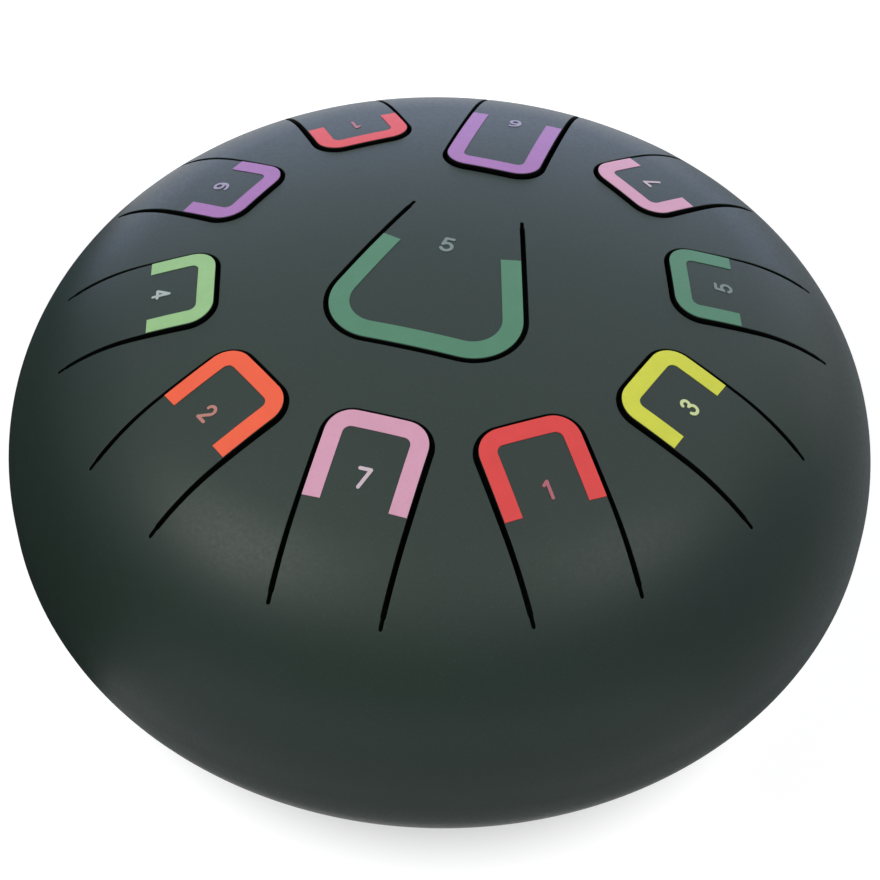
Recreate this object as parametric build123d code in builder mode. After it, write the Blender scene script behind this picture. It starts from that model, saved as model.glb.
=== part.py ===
from build123d import *
import os
from dataclasses import dataclass
from math import asin, cos, degrees, radians, sin, sqrt

os.makedirs("parts", exist_ok=True)

# Steel tongue drum, standing on its feet at z = 0 with its front towards -Y

# Pressed sheet shells, whose rim lies outside the circle of the tongues' roots
sheet = 1.5
root_radius = 106.7
rim_to_root = 20.3
rim_wall = 4.0
shoulder_radius = 58.0
crown_radius = 280.0
bowl_depth = 52.0
bowl_wall = 2.0
bowl_rim_radius = 32.0
rim_to_base = 69.0
base_ring_width = 30.0
edge_round = 0.5

# Weld that joins the two rims
weld_height = 2.0
weld_bead = 0.8

# Push-in rubber feet
foot_height = 6.0
foot_radius = 8.0
foot_round = 1.2
foot_stem_radius = 3.4
foot_hole_clearance = 0.1
foot_barb_radius = 4.4
foot_barb_tip_radius = 2.2
foot_barb_height = 4.0

# Slots that free the tongues, each ending in a narrow tuning cut
slot_width = 1.4
tip_slot_width = 1.0
stub_width = 1.0
stub_length = 2.0
root_gap = 0.1

# Outer tongues, with sheet left between neighbours at their roots
web_width = 37.95
tongue_corner = 7.0
tongue_lift = 1.0  # degrees that an outer tongue stands up from the shell at rest
length_low_6 = 60.8
length_low_7 = 51.1
length_1 = 48.5
length_2 = 46.8
length_3 = 44.7
length_4 = 43.8
length_5 = 43.6
length_6 = 43.3
length_7 = 42.1
length_high_1 = 42.0

# Centre tongue, which widens towards its tip at the front
length_low_5 = 56.0
centre_root_radius = 23.9
centre_root_width = 30.3
centre_tip_width = 63.0
centre_corner = 14.0

# Coloured bands along the tips
film = 0.15
band_width = 4.8
band_to_root = 25.2
band_1_to_root = 23.5
band_2_to_root = 24.0
centre_band_width = 5.6
centre_band_to_root = 16.9

# Numerals
numeral_height = 5.2
large_numeral_height = 5.8
numeral_to_root = 28.7
numeral_low_7_to_root = 32.7
centre_numeral_to_root = 16.4
centre_numeral_shift = 1.3
stroke_share = 0.17

# How far cutting shapes pass the sheet
overrun = 5.0

# Strokes of each numeral in shares of its height: two points are a line, three an arc
stroke_shares = {
    "1": [
        [(-0.16, 0.27), (0.05, 0.44)],
        [(0.05, 0.44), (0.05, -0.44)],
    ],
    "2": [
        [(-0.23, 0.21), (0.00, 0.44), (0.23, 0.21)],
        [(0.23, 0.21), (0.20, 0.09), (0.11, -0.03)],
        [(0.11, -0.03), (-0.25, -0.44)],
        [(-0.25, -0.44), (0.25, -0.44)],
    ],
    "3": [
        [(-0.20, 0.29), (0.14, 0.39), (0.00, 0.05)],
        [(0.00, 0.05), (0.25, -0.19), (-0.24, -0.26)],
    ],
    "4": [
        [(0.11, -0.44), (0.11, 0.44)],
        [(0.11, 0.44), (-0.27, -0.20)],
        [(-0.27, -0.20), (0.27, -0.20)],
    ],
    "5": [
        [(0.21, 0.44), (-0.15, 0.44)],
        [(-0.15, 0.44), (-0.21, 0.01)],
        [(-0.21, 0.01), (0.26, -0.17), (-0.24, -0.27)],
    ],
    "6": [
        [(0.19, 0.39), (-0.18, 0.27), (-0.25, -0.19)],
        [(-0.25, -0.19), (0.00, -0.44), (0.25, -0.19)],
        [(0.25, -0.19), (0.00, 0.06), (-0.25, -0.19)],
    ],
    "7": [
        [(-0.25, 0.44), (0.25, 0.44)],
        [(0.25, 0.44), (-0.08, -0.44)],
    ],
}

# Radii of the rim, the flat base, the sound hole and the feet's circle
rim_radius = root_radius + rim_to_root
base_radius = rim_radius - rim_to_base
sound_hole_radius = base_radius - base_ring_width
foot_circle_radius = base_radius - base_ring_width / 2

# Heights of the base, the seam, the straight rim's top and the drum's top
base_height = foot_height
seam_height = base_height + bowl_depth
shoulder_height = seam_height + rim_wall
shoulder_centre = rim_radius - shoulder_radius
crown_drop = sqrt((crown_radius - shoulder_radius) ** 2 - shoulder_centre**2)
crown_height = shoulder_height - crown_drop
crown_angle = degrees(asin(shoulder_centre / (crown_radius - shoulder_radius)))
top_height = crown_height + crown_radius

# Bowl arcs: the rim arc runs into a dish arc that meets the flat base
bowl_rim_centre = rim_radius - bowl_rim_radius
bowl_rim_height = seam_height - bowl_wall
bowl_reach = bowl_rim_centre - base_radius
bowl_rise = bowl_rim_height - base_height
dish_radius = (bowl_rise**2 + bowl_reach**2 - bowl_rim_radius**2) / (2 * (bowl_rise - bowl_rim_radius))
dish_height = base_height + dish_radius
bowl_angle = 90 - degrees(asin(bowl_reach / (dish_radius - bowl_rim_radius)))


@dataclass
class Tongue:
    """One tongue, with its plan measured along a line from the drum's axis to its root."""

    name: str
    turn: float
    root: float
    length: float
    root_width: float
    tip_width: float
    corner: float
    tip_slot: float
    lift: float
    band: float
    band_end: float
    numeral: float
    numeral_plane: Plane

    def plane(self):
        """Level plane whose x runs from the axis towards the root."""
        heading = radians(self.turn)
        return Plane((0, 0, seam_height), x_dir=(sin(heading), -cos(heading), 0), z_dir=(0, 0, 1))

    def half_width(self, at, grow):
        """Half the width at a distance from the axis, with both sides moved outwards."""
        lean = (self.root_width - self.tip_width) / (2 * self.length)
        return self.root_width / 2 + lean * (at - self.root) + grow * sqrt(1 + lean**2)


def lifted(tongue, piece):
    """A piece of a tongue, turned up about the tongue's root line."""
    heading = radians(tongue.turn)
    middle = shoulder_radius - sheet / 2
    height = shoulder_height + sqrt(middle**2 - (tongue.root - shoulder_centre) ** 2)
    root_point = (tongue.root * sin(heading), -tongue.root * cos(heading), height)
    return piece.rotate(Axis(root_point, (cos(heading), sin(heading), 0)), tongue.lift)


def outer_numeral_plane(turn, to_root):
    """Plane of an outer numeral, whose top is towards the drum's axis."""
    heading = radians(turn)
    reach = root_radius - to_root
    return Plane(
        (reach * sin(heading), -reach * cos(heading), seam_height),
        x_dir=(cos(heading), sin(heading), 0),
        z_dir=(0, 0, 1),
    )


def skin_section(inner, outer):
    """Section of the upper shell's skin between two offsets from its outer face."""
    foot = seam_height + weld_height / 2
    with BuildSketch(Plane.XZ) as section:
        with BuildLine():
            for offset_out in (inner, outer):
                bend = shoulder_radius + offset_out
                CenterArc((0, crown_height), crown_radius + offset_out, 90 - crown_angle, crown_angle)
                CenterArc((shoulder_centre, shoulder_height), bend, 0, 90 - crown_angle)
                Line((rim_radius + offset_out, shoulder_height), (rim_radius + offset_out, foot))
            Line((0, top_height + inner), (0, top_height + outer))
            Line((rim_radius + inner, foot), (rim_radius + outer, foot))
        make_face()
    return section.sketch


def bowl_section():
    """Section of the lower shell's sheet, from the sound hole to the rim."""
    head = seam_height - weld_height / 2
    with BuildSketch(Plane.XZ) as section:
        with BuildLine():
            for offset_out in (-sheet, 0):
                floor = base_height - offset_out
                Line((sound_hole_radius, floor), (base_radius, floor))
                bend = bowl_rim_radius + offset_out
                CenterArc((base_radius, dish_height), dish_radius + offset_out, -90, 90 - bowl_angle)
                CenterArc((bowl_rim_centre, bowl_rim_height), bend, -bowl_angle, bowl_angle)
                Line((rim_radius + offset_out, bowl_rim_height), (rim_radius + offset_out, head))
            Line((sound_hole_radius, base_height), (sound_hole_radius, base_height + sheet))
            Line((rim_radius - sheet, head), (rim_radius, head))
        make_face()
    return section.sketch


def tip_plan(tongue, grow, ahead, end):
    """Plan of a tongue from its rounded tip to a cross line, with its sides and tip moved outwards."""
    tip = tongue.root - tongue.length - ahead
    with BuildSketch(tongue.plane()) as plan:
        with BuildLine():
            Polyline(
                (end, tongue.half_width(end, grow)),
                (tip, tongue.half_width(tip, grow)),
                (tip, -tongue.half_width(tip, grow)),
                (end, -tongue.half_width(end, grow)),
                close=True,
            )
        make_face()
        fillet(plan.vertices().group_by(Axis.X)[0], tongue.corner + grow)
    return plan.sketch


def root_plan(tongue, grow, end):
    """Plan of the strip beside the tuning cuts, from the slots' ends towards the root."""
    start = tongue.root - stub_length
    with BuildSketch(tongue.plane()) as plan:
        with BuildLine():
            Polyline(
                (end, tongue.half_width(end, grow)),
                (start, tongue.half_width(start, grow)),
                (start, -tongue.half_width(start, grow)),
                (end, -tongue.half_width(end, grow)),
                close=True,
            )
        make_face()
    return plan.sketch


def numeral_plan(digit, height, plane):
    """Plan of a numeral drawn with a round pen."""
    pen_width = stroke_share * height
    with BuildSketch(plane) as plan:
        for stroke in stroke_shares[digit]:
            points = [(x * height, y * height) for x, y in stroke]
            with BuildLine():
                if len(points) == 2:
                    Line(*points)
                else:
                    ThreePointArc(*points)
            trace(line_width=pen_width)
            with Locations(points[0], points[-1]):
                Circle(pen_width / 2)
    return plan.sketch


outer_lengths = {
    "low_7": length_low_7,
    "1": length_1,
    "3": length_3,
    "5": length_5,
    "7": length_7,
    "low_6": length_low_6,
    "high_1": length_high_1,
    "6": length_6,
    "4": length_4,
    "2": length_2,
}

tongues = [
    Tongue(
        name="low_5",
        turn=180,
        root=centre_root_radius,
        length=length_low_5,
        root_width=centre_root_width,
        tip_width=centre_tip_width,
        corner=centre_corner,
        tip_slot=slot_width,
        lift=0,
        band=centre_band_width,
        band_end=centre_root_radius - centre_band_to_root,
        numeral=large_numeral_height,
        numeral_plane=Plane(
            (-centre_numeral_shift, centre_root_radius - centre_numeral_to_root, seam_height)
        ),
    )
]
# Bands and numerals that differ from the rest
band_places = {"1": band_1_to_root, "2": band_2_to_root}
numeral_places = {"low_7": numeral_low_7_to_root}
numeral_heights = {"low_7": large_numeral_height}

turn_step = 360 / len(outer_lengths)
tongue_width = 2 * root_radius * sin(radians(turn_step / 2)) - web_width
for place, (name, length) in enumerate(outer_lengths.items()):
    turn = place * turn_step
    tongues.append(
        Tongue(
            name=name,
            turn=turn,
            root=root_radius,
            length=length,
            root_width=tongue_width,
            tip_width=tongue_width,
            corner=tongue_corner,
            tip_slot=tip_slot_width,
            lift=tongue_lift,
            band=band_width,
            band_end=root_radius - band_places.get(name, band_to_root),
            numeral=numeral_heights.get(name, numeral_height),
            numeral_plane=outer_numeral_plane(turn, numeral_places.get(name, numeral_to_root)),
        )
    )

# Cuts stand upright from the seam to past the drum's top
cut_height = top_height - seam_height + overrun

# Upper shell with a window for each tongue and its slots
with BuildPart() as top_shell:
    revolve(skin_section(-sheet, 0), axis=Axis.Z)
    for tongue in tongues:
        window = tip_plan(tongue, slot_width, tongue.tip_slot, tongue.root - stub_length)
        stubs = root_plan(tongue, (slot_width + stub_width) / 2, tongue.root)
        extrude(window, amount=cut_height, mode=Mode.SUBTRACT)
        extrude(stubs, amount=cut_height, mode=Mode.SUBTRACT)
top_shell.part.label = "top_shell"
export_step(top_shell.part, "parts/top_shell.step")

# Tongues, each with its band and its numeral as thin films on the outer face
for tongue in tongues:
    tab = root_plan(tongue, (slot_width - stub_width) / 2, tongue.root - root_gap)
    outline = tip_plan(tongue, 0, 0, tongue.root - stub_length) + tab
    with BuildPart() as blade:
        revolve(skin_section(-sheet, 0), axis=Axis.Z)
        extrude(outline, amount=cut_height, mode=Mode.INTERSECT)
    placed_blade = lifted(tongue, blade.part)
    placed_blade.label = f"tongue_{tongue.name}"
    export_step(placed_blade, f"parts/tongue_{tongue.name}.step")

    with BuildPart() as band:
        revolve(skin_section(0, film), axis=Axis.Z)
        extrude(tip_plan(tongue, 0, 0, tongue.band_end), amount=cut_height, mode=Mode.INTERSECT)
        inside = tip_plan(tongue, -tongue.band, -tongue.band, tongue.band_end + overrun)
        extrude(inside, amount=cut_height, mode=Mode.SUBTRACT)
    placed_band = lifted(tongue, band.part)
    placed_band.label = f"band_{tongue.name}"
    export_step(placed_band, f"parts/band_{tongue.name}.step")

    with BuildPart() as numeral:
        revolve(skin_section(0, film), axis=Axis.Z)
        strokes = numeral_plan(tongue.name[-1], tongue.numeral, tongue.numeral_plane)
        extrude(strokes, amount=cut_height, mode=Mode.INTERSECT)
    placed_numeral = lifted(tongue, numeral.part)
    placed_numeral.label = f"numeral_{tongue.name}"
    export_step(placed_numeral, f"parts/numeral_{tongue.name}.step")

# Lower shell with the sound hole and the feet's holes
foot_turns = {"front_right": -45, "back_right": 45, "back_left": 135, "front_left": 225}
foot_places = {
    name: (foot_circle_radius * cos(radians(turn)), foot_circle_radius * sin(radians(turn)))
    for name, turn in foot_turns.items()
}
with BuildPart() as bottom_shell:
    revolve(bowl_section(), axis=Axis.Z)
    round_edges = bottom_shell.edges().filter_by(GeomType.CIRCLE).filter_by(lambda edge: edge.is_closed)
    fillet(round_edges.sort_by(SortBy.RADIUS)[:2], edge_round)
    with Locations(*[(x, y, base_height) for x, y in foot_places.values()]):
        Cylinder(
            foot_stem_radius + foot_hole_clearance,
            sheet + overrun,
            align=(Align.CENTER, Align.CENTER, Align.MIN),
            mode=Mode.SUBTRACT,
        )
bottom_shell.part.label = "bottom_shell"
export_step(bottom_shell.part, "parts/bottom_shell.step")

# Weld ring, ground flush outside with a bead inside
with BuildPart() as seam_weld:
    with BuildSketch(Plane.XZ):
        with BuildLine():
            inside = rim_radius - sheet
            low = seam_height - weld_height / 2
            high = seam_height + weld_height / 2
            Polyline((inside, high), (rim_radius, high), (rim_radius, low), (inside, low))
            ThreePointArc((inside, low), (inside - weld_bead, seam_height), (inside, high))
        make_face()
    revolve(axis=Axis.Z)
seam_weld.part.label = "seam_weld"
export_step(seam_weld.part, "parts/seam_weld.step")

# Feet: a round pad under the base, with a barbed stem through its hole
for name, (x, y) in foot_places.items():
    with BuildPart() as foot:
        with Locations((x, y, 0)):
            Cylinder(foot_radius, foot_height, align=(Align.CENTER, Align.CENTER, Align.MIN))
        fillet(foot.edges().group_by(Axis.Z)[0], foot_round)
        with Locations((x, y, foot_height)):
            Cylinder(
                foot_stem_radius, sheet + foot_hole_clearance, align=(Align.CENTER, Align.CENTER, Align.MIN)
            )
        with Locations((x, y, foot_height + sheet + foot_hole_clearance)):
            Cone(
                foot_barb_radius,
                foot_barb_tip_radius,
                foot_barb_height,
                align=(Align.CENTER, Align.CENTER, Align.MIN),
            )
    foot.part.label = f"foot_{name}"
    export_step(foot.part, f"parts/foot_{name}.step")
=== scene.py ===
"""Looks for a steel tongue drum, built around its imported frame. All lengths are in metres."""

import logging
import math
from dataclasses import dataclass, field
from enum import Enum
from typing import ClassVar

import bmesh
import bpy
import numpy as np
from mathutils import Matrix, Vector
from mathutils.geometry import delaunay_2d_cdt


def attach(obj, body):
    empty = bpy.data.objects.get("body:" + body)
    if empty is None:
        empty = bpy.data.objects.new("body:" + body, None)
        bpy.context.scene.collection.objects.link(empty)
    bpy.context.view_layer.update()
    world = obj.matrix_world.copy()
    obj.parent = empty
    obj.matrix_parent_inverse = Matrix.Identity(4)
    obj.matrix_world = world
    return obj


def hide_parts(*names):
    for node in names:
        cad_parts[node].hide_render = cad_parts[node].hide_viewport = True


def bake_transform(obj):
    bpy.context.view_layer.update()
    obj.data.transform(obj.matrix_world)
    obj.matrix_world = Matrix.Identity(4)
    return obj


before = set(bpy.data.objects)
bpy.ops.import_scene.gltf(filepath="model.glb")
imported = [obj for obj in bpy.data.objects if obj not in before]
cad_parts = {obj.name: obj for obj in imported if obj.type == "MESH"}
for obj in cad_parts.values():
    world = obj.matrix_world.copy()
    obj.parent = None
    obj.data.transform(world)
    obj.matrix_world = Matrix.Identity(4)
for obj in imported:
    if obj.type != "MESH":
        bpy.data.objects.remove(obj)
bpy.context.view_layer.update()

MM = 0.001
SHEET = 1.5 * MM
RIM_RADIUS = 127 * MM
RIM_SEGMENTS = 288
NEAR_ZERO = 1e-12
DRUM = "drum"
# Mesh mask of the slot walls, where the coat paints shade.
SLOT_SHADE_SHARE = "slot_wall_shade"
log = logging.getLogger("tongue_drum")

Colour = tuple[float, float, float]
Place = tuple[float, float, float]
Span = tuple[float, float]
Socket = bpy.types.NodeSocket
WHOLE: Span = (0, 1)

SRGB_TOP = 255
SRGB_KNEE = 0.04045
SRGB_SLOPE = 12.92
SRGB_SHIFT = 0.055
SRGB_POWER = 2.4


def linear(red: int, green: int, blue: int) -> Colour:
    """Turns a screen colour into linear light.

    Args:
        red: Red from 0 to 255.
        green: Green from 0 to 255.
        blue: Blue from 0 to 255.

    Returns:
        The three linear shares.
    """
    shares = [value / SRGB_TOP for value in (red, green, blue)]
    return tuple(
        s / SRGB_SLOPE if s <= SRGB_KNEE else ((s + SRGB_SHIFT) / (1 + SRGB_SHIFT)) ** SRGB_POWER
        for s in shares)


class Ink(Enum):
    """Colours of the bands and numerals, by the record's slots."""

    PINK = "film_pink"
    RED = "film_red"
    YELLOW = "film_yellow"
    ORANGE = "film_orange"
    LIGHT_GREEN = "film_light_green"
    GREEN = "film_green"
    PURPLE = "film_purple"


BAND_COLOURS: dict[Ink, Colour] = {
    Ink.PINK: linear(208, 152, 174),
    Ink.RED: linear(216, 62, 60),
    Ink.YELLOW: linear(205, 208, 62),
    Ink.ORANGE: linear(236, 92, 56),
    Ink.LIGHT_GREEN: linear(146, 187, 128),
    Ink.GREEN: linear(76, 126, 98),
    Ink.PURPLE: linear(160, 106, 166),
}
NUMERAL_COLOURS: dict[Ink, Colour] = {
    Ink.PINK: linear(198, 178, 186),
    Ink.RED: linear(172, 96, 106),
    Ink.YELLOW: linear(201, 210, 150),
    Ink.ORANGE: linear(178, 121, 109),
    Ink.LIGHT_GREEN: linear(164, 176, 170),
    Ink.GREEN: linear(116, 130, 127),
    Ink.PURPLE: linear(152, 142, 164),
}


def placed(name: str, data: bpy.types.ID) -> bpy.types.Object:
    """Puts an object into the scene, at the origin.

    Args:
        name: Its name.
        data: Its mesh, lamp or camera.

    Returns:
        The object.
    """
    made = bpy.data.objects.new(name, data)
    bpy.context.scene.collection.objects.link(made)
    return made


class NodeBench:
    """A node tree under construction, whose inputs take plain values or sockets."""

    def __init__(self, tree: bpy.types.NodeTree) -> None:
        """Starts work on a tree."""
        self.tree = tree

    def feed(self, socket: Socket, value: object) -> None:
        """Links a socket to an input, or sets the input to one value.

        Args:
            socket: The input.
            value: A socket, a number, a colour or a material.
        """
        if isinstance(value, Socket):
            self.tree.links.new(value, socket)
        else:
            socket.default_value = (*value, 1) if socket.type == "RGBA" else value

    def node(self, kind: str, inputs: dict[str, object], **settings: object) -> bpy.types.Node:
        """Adds a node.

        Args:
            kind: The node's type.
            inputs: Values or sockets by the input's name.
            **settings: The node's own settings.

        Returns:
            The node.
        """
        made = self.tree.nodes.new(kind)
        for name, value in settings.items():
            setattr(made, name, value)
        for name, value in inputs.items():
            self.feed(next(s for s in made.inputs if s.name == name and s.enabled), value)
        return made

    def step(self, kind: str, inputs: dict[str, object], **settings: object) -> Socket:
        """Adds a node, as node does, and gives the first output that its settings leave open."""
        return next(s for s in self.node(kind, inputs, **settings).outputs if s.enabled)

    def row(self, kind: str, *values: object, **settings: object) -> Socket:
        """Adds a node whose inputs are fed in their own order.

        Args:
            kind: The node's type.
            *values: Values or sockets.
            **settings: The node's own settings.

        Returns:
            Its first output.
        """
        made = self.node(kind, {}, **settings)
        for socket, value in zip(made.inputs, values):
            self.feed(socket, value)
        return made.outputs[0]

    def maths(self, operation: str, first: object, second: object = 0.0) -> Socket:
        """Adds a sum on one or two numbers or sockets."""
        return self.row("ShaderNodeMath", first, second, operation=operation)

    def remap(self, value: Socket, spread: Span, to: Span = WHOLE, curve: str = "LINEAR") -> Socket:
        """Stretches a range of a pattern to another range.

        Args:
            value: The pattern.
            spread: The part of the pattern's range that is used.
            to: The range that it becomes.
            curve: How it runs from one end to the other.

        Returns:
            The stretched pattern.
        """
        ends = zip(("From Min", "From Max", "To Min", "To Max"), spread + to)
        sockets = {"Value": value, **dict(ends)}
        return self.step("ShaderNodeMapRange", sockets, interpolation_type=curve)

    def mix(self, share: Socket, first: Colour | Socket, second: Colour) -> Socket:
        """Blends two colours by a pattern.

        Args:
            share: The pattern, 0 for the first colour and 1 for the second.
            first: A colour, or the output of an earlier blend.
            second: The other colour.

        Returns:
            The blended colour.
        """
        sockets = {"Factor": share, "A": first, "B": second}
        return self.step("ShaderNodeMix", sockets, data_type="RGBA")


@dataclass(frozen=True)
class Noise:
    """A noise pattern: waves per metre, octaves of finer noise and the share each one keeps."""

    scale: float
    detail: float
    rough: float = 0.5


@dataclass(frozen=True)
class Relief:
    """How a pattern raises a surface: how much of it shows, and its depth."""

    strength: float
    depth: float


class ShaderSheet(NodeBench):
    """A material under construction, with its patterns on Object coordinates."""

    def __init__(self, name: str) -> None:
        """Starts a material with one Principled shader.

        Args:
            name: The material's name.
        """
        self.material = bpy.data.materials.new(name)
        self.material.use_nodes = True
        super().__init__(self.material.node_tree)
        self.shader = self.tree.nodes["Principled BSDF"]
        self.place = self.node("ShaderNodeTexCoord", {}).outputs["Object"]

    def noise(self, pattern: Noise) -> Socket:
        """Adds a noise pattern."""
        waves = {"Scale": pattern.scale, "Detail": pattern.detail, "Roughness": pattern.rough}
        return self.node("ShaderNodeTexNoise", {"Vector": self.place, **waves}).outputs["Fac"]

    def carried(self, name: str) -> Socket:
        """Reads a value that the piece's own mesh carries, or 0 where it carries none."""
        return self.node("ShaderNodeAttribute", {}, attribute_name=name).outputs["Fac"]

    def bump(self, height: Socket, relief: Relief) -> None:
        """Raises the surface by a pattern, on top of any earlier relief.

        Args:
            height: The pattern.
            relief: How it raises the surface.
        """
        normal = self.shader.inputs["Normal"]
        under = {"Normal": normal.links[0].from_socket} if normal.is_linked else {}
        sizes = {"Strength": relief.strength, "Distance": relief.depth}
        self.feed(normal, self.step("ShaderNodeBump", {"Height": height, **sizes, **under}))

    def finish(self, inputs: dict[str, object]) -> bpy.types.Material:
        """Feeds the shader and ends the material.

        Args:
            inputs: Values or sockets by the input's name.

        Returns:
            The material.
        """
        for name, value in inputs.items():
            self.feed(self.shader.inputs[name], value)
        return self.material


@dataclass(frozen=True)
class PowderCoat:
    """Satin powder coat with a fine grain, drifting between a cool and a greener grey.

    The walls of the slots are painted near-black, a painted shade, so the slots read dark.
    """

    cool: Colour = (0.0138, 0.0270, 0.0212)
    green: Colour = (0.0134, 0.0280, 0.0194)
    fleck: Colour = (0.0300, 0.0430, 0.0370)
    # Painted shade: the near-black colour of the slot walls.
    wall: Colour = (0.0010, 0.0012, 0.0010)
    drift: Noise = Noise(14, 3)
    drift_spread: Span = (0.35, 0.65)
    grain: Noise = Noise(1700, 3, 0.6)
    grain_relief: Relief = Relief(0.35, 0.05 * MM)
    fleck_spread: Span = (0.56, 0.74)
    fleck_share: Span = (0, 0.7)
    peel: Noise = Noise(900, 2)
    peel_relief: Relief = Relief(0.12, 0.04 * MM)
    peel_spread: Span = (0.3, 0.7)
    gloss: Span = (0.41, 0.48)
    specular: float = 0.36

    def material(self) -> bpy.types.Material:
        """Builds the coat's material.

        Returns:
            The material.
        """
        sheet = ShaderSheet("powder_coat")
        drift = sheet.remap(sheet.noise(self.drift), self.drift_spread)
        grain, peel = sheet.noise(self.grain), sheet.noise(self.peel)
        flecks = sheet.remap(grain, self.fleck_spread, self.fleck_share)
        coat = sheet.mix(flecks, sheet.mix(drift, self.cool, self.green), self.fleck)
        sheet.bump(peel, self.peel_relief)
        sheet.bump(grain, self.grain_relief)
        return sheet.finish({
            # Painted shade on the slot walls, by the mesh's wall mask.
            "Base Color": sheet.mix(sheet.carried(SLOT_SHADE_SHARE), coat, self.wall),
            "Roughness": sheet.remap(peel, self.peel_spread, self.gloss),
            "Specular IOR Level": self.specular,
        })


@dataclass(frozen=True)
class BandInk:
    """Satin printed colour that lets the coat's grain through a little."""

    name: str
    colour: Colour
    cloud_tone: float = 0.95
    worn_tone: float = 0.86
    cloud: Noise = Noise(160, 3)
    cloud_spread: Span = (0.38, 0.68)
    grain: Noise = Noise(1500, 3, 0.6)
    grain_relief: Relief = Relief(0.22, 0.05 * MM)
    grain_spread: Span = (0.3, 0.7)
    speck_spread: Span = (0.55, 0.75)
    speck_share: Span = (0, 0.6)
    gloss: Span = (0.40, 0.52)
    specular: float = 0.40

    def material(self) -> bpy.types.Material:
        """Builds the ink's material.

        Returns:
            The material.
        """
        sheet = ShaderSheet(self.name)
        tones = (self.cloud_tone, self.worn_tone)
        clouded, worn = (tuple(c * tone for c in self.colour) for tone in tones)
        cloud = sheet.remap(sheet.noise(self.cloud), self.cloud_spread)
        grain = sheet.noise(self.grain)
        specks = sheet.remap(grain, self.speck_spread, self.speck_share)
        sheet.bump(grain, self.grain_relief)
        return sheet.finish({
            "Base Color": sheet.mix(specks, sheet.mix(cloud, self.colour, clouded), worn),
            "Roughness": sheet.remap(grain, self.grain_spread, self.gloss),
            "Specular IOR Level": self.specular,
        })


@dataclass(frozen=True)
class FootRubber:
    """Matt black rubber with a dusty bloom."""

    base: Colour = (0.012, 0.012, 0.013)
    bloom: Colour = (0.035, 0.035, 0.036)
    dust: Noise = Noise(300, 4, 0.6)
    dust_spread: Span = (0.42, 0.75)
    grain: Noise = Noise(1800, 2)
    grain_relief: Relief = Relief(0.3, 0.05 * MM)
    gloss: Span = (0.62, 0.80)

    def material(self) -> bpy.types.Material:
        """Builds the rubber's material.

        Returns:
            The material.
        """
        sheet = ShaderSheet("foot_rubber")
        dust = sheet.remap(sheet.noise(self.dust), self.dust_spread)
        sheet.bump(sheet.noise(self.grain), self.grain_relief)
        return sheet.finish({
            "Base Color": sheet.mix(dust, self.base, self.bloom),
            "Roughness": sheet.remap(dust, WHOLE, self.gloss),
        })


@dataclass(frozen=True)
class CrownSkin:
    """Outer face of the upper shell: a shallow crown that rolls over into a round shoulder."""

    crown_radius: float = 280 * MM
    shoulder_radius: float = 58 * MM
    shoulder_from_axis: float = 69 * MM
    shoulder_height: float = 62 * MM

    @property
    def crown_centre(self) -> float:
        """Height of the crown's centre, far below the drum."""
        reach = self.crown_radius - self.shoulder_radius
        return self.shoulder_height - math.sqrt(reach**2 - self.shoulder_from_axis**2)

    def split(self, lift: float) -> float:
        """Distance from the axis at which the crown meets the shoulder, at an offset."""
        share = self.shoulder_from_axis / (self.crown_radius - self.shoulder_radius)
        return (self.crown_radius + lift) * share

    def heights(self, plan: np.ndarray, lift: float = 0.0) -> np.ndarray:
        """Finds the skin's height over points in plan.

        Args:
            plan: Points in plan, one to a row.
            lift: Offset from the outer face, outwards.

        Returns:
            One height for each point.
        """
        away = np.hypot(plan[:, 0], plan[:, 1])
        crown = np.sqrt(np.maximum((self.crown_radius + lift) ** 2 - away**2, 0))
        off = away - self.shoulder_from_axis
        bend = np.sqrt(np.maximum((self.shoulder_radius + lift) ** 2 - off**2, 0))
        on_crown = away < self.split(lift)
        return np.where(on_crown, self.crown_centre + crown, self.shoulder_height + bend)

    def normals(self, plan: np.ndarray, lift: float = 0.0) -> np.ndarray:
        """Finds the skin's outward directions over points in plan.

        Args:
            plan: Points in plan, one to a row.
            lift: Offset from the outer face, outwards.

        Returns:
            One unit direction for each point.
        """
        away = np.hypot(plan[:, 0], plan[:, 1])
        on_crown = away / (self.crown_radius + lift)
        on_bend = (away - self.shoulder_from_axis) / (self.shoulder_radius + lift)
        lean = np.where(away < self.split(lift), on_crown, on_bend)
        along = plan / np.maximum(away, NEAR_ZERO)[:, None]
        return np.column_stack((along * lean[:, None], np.sqrt(np.maximum(1 - lean**2, 0))))

    def points(self, plan: np.ndarray, lift: float = 0.0) -> np.ndarray:
        """Lifts points in plan on to the skin."""
        return np.column_stack((plan, self.heights(plan, lift)))


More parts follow.
